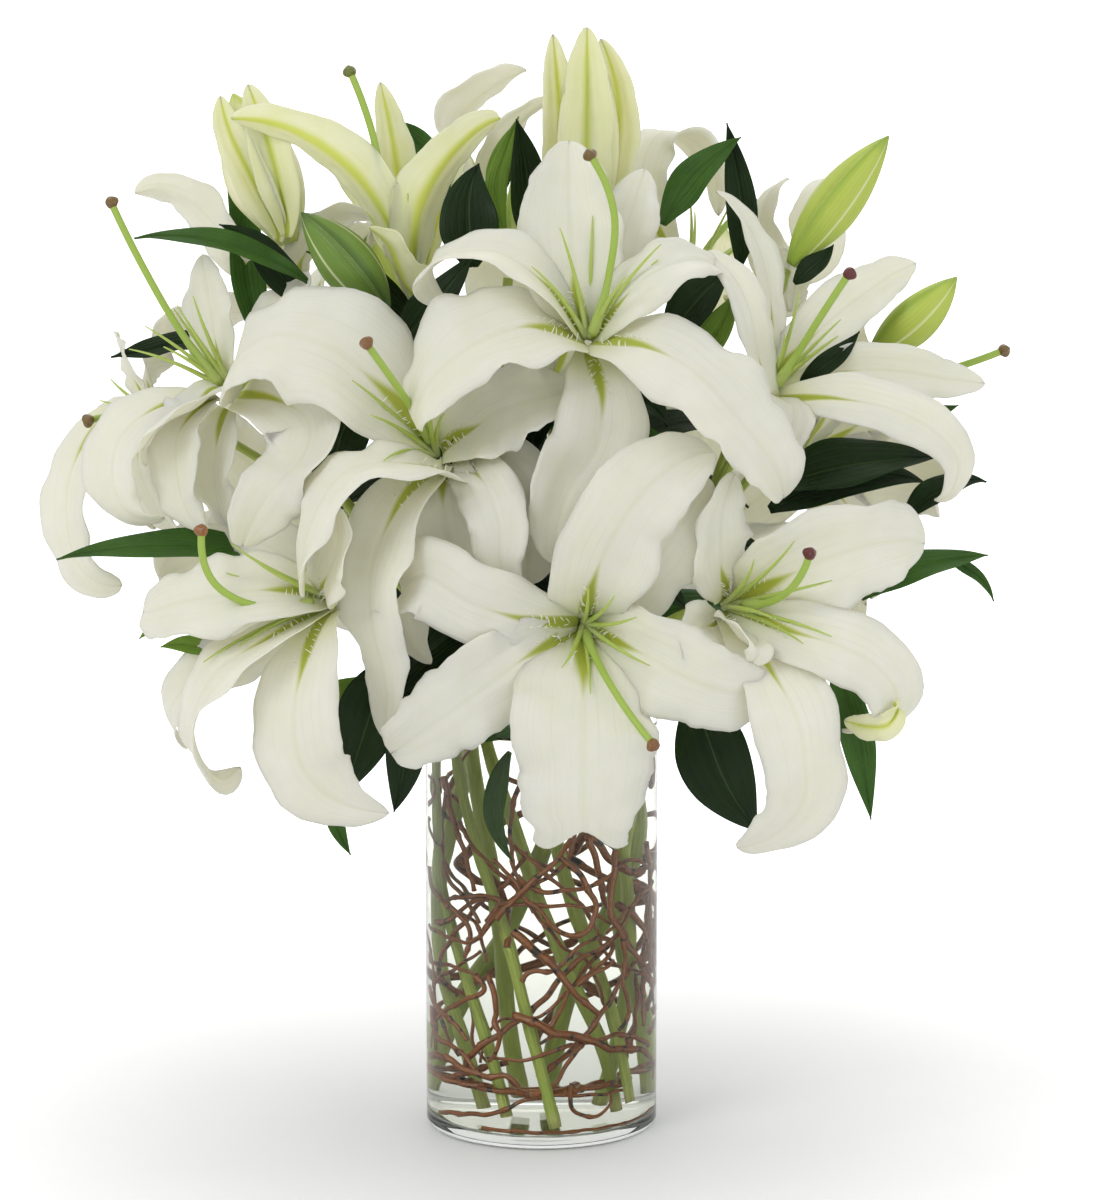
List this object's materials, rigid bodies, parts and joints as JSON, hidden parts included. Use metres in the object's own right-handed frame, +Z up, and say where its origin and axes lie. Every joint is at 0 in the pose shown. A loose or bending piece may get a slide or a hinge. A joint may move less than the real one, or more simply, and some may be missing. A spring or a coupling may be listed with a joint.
{
  "type": "cut flower arrangement",
  "caption": "White lilies, buds, leaves and curly willow twigs standing in a clear glass cylinder vase of water.",
  "frame": {"origin": "centre of the vase's flat underside, where it rests", "axes": "+Z up along the vase axis, -Y towards the front of the arrangement, +X to the right"},
  "size_m": [0.4094, 0.2767, 0.4911],
  "materials": {
    "clear_glass": "clear smooth glass, fire-polished rim",
    "water": "clear still water",
    "stem_green": "smooth waxy green stem",
    "willow_bark": "thin red-brown bark with nodes",
    "style_green": "smooth green style with a sticky stigma",
    "tepal_white": "soft white petal with faint parallel veins and a green throat",
    "leaf_green": "glossy dark green leaf with parallel veins",
    "bud_pale": "cream bud with green ribs",
    "bud_green": "satin lime green closed bud"
  },
  "bodies": {
    "root": {"bloom_back_centre": "tepal_white", "bloom_back_left_low": "tepal_white", "bloom_back_right": "tepal_white", "bloom_back_right_low": "tepal_white", "bloom_back_top": "tepal_white", "bloom_back_top_left": "tepal_white", "bloom_back_top_right": "tepal_white", "bloom_centre_left": "tepal_white", "bloom_far_left": "tepal_white", "bloom_front_low": "tepal_white", "bloom_left": "tepal_white", "bloom_left_low": "tepal_white", "bloom_right": "tepal_white", "bloom_right_low": "tepal_white", "bloom_top_left": "tepal_white", "bloom_upper": "tepal_white", "bud_back_left": "bud_green", "bud_back_right": "bud_pale", "bud_left_big": "bud_pale", "bud_left_green": "bud_green", "bud_right": "bud_green", "bud_right_tall": "bud_green", "bud_top": "bud_pale", "leaf_back": "leaf_green", "leaf_hang_right": "leaf_green", "leaf_left_long": "leaf_green", "leaf_left_tip": "leaf_green", "leaf_left_upright": "leaf_green", "leaf_right": "leaf_green", "leaf_right_big": "leaf_green", "leaf_right_end": "leaf_green", "leaf_top": "leaf_green", "leaf_top_dark": "leaf_green", "leaf_top_right": "leaf_green", "leaf_upper_left": "leaf_green", "leaf_vase_left": "leaf_green", "leaf_vase_right": "leaf_green", "pistil_centre_left": "style_green", "pistil_front_low": "style_green", "pistil_left": "style_green", "pistil_left_low": "style_green", "pistil_right": "style_green", "pistil_right_low": "style_green", "pistil_top_left": "style_green", "pistil_upper": "style_green", "stem_1": "stem_green", "stem_2": "stem_green", "stem_3": "stem_green", "stem_4": "stem_green", "stem_5": "stem_green", "stem_6": "stem_green", "stem_7": "stem_green", "stem_8": "stem_green", "vase": "clear_glass", "water": "water", "willow_twig_1": "willow_bark", "willow_twig_2": "willow_bark", "willow_twig_3": "willow_bark", "stem_9": "stem_green", "stem_10": "stem_green"}
  },
  "joints": []
}
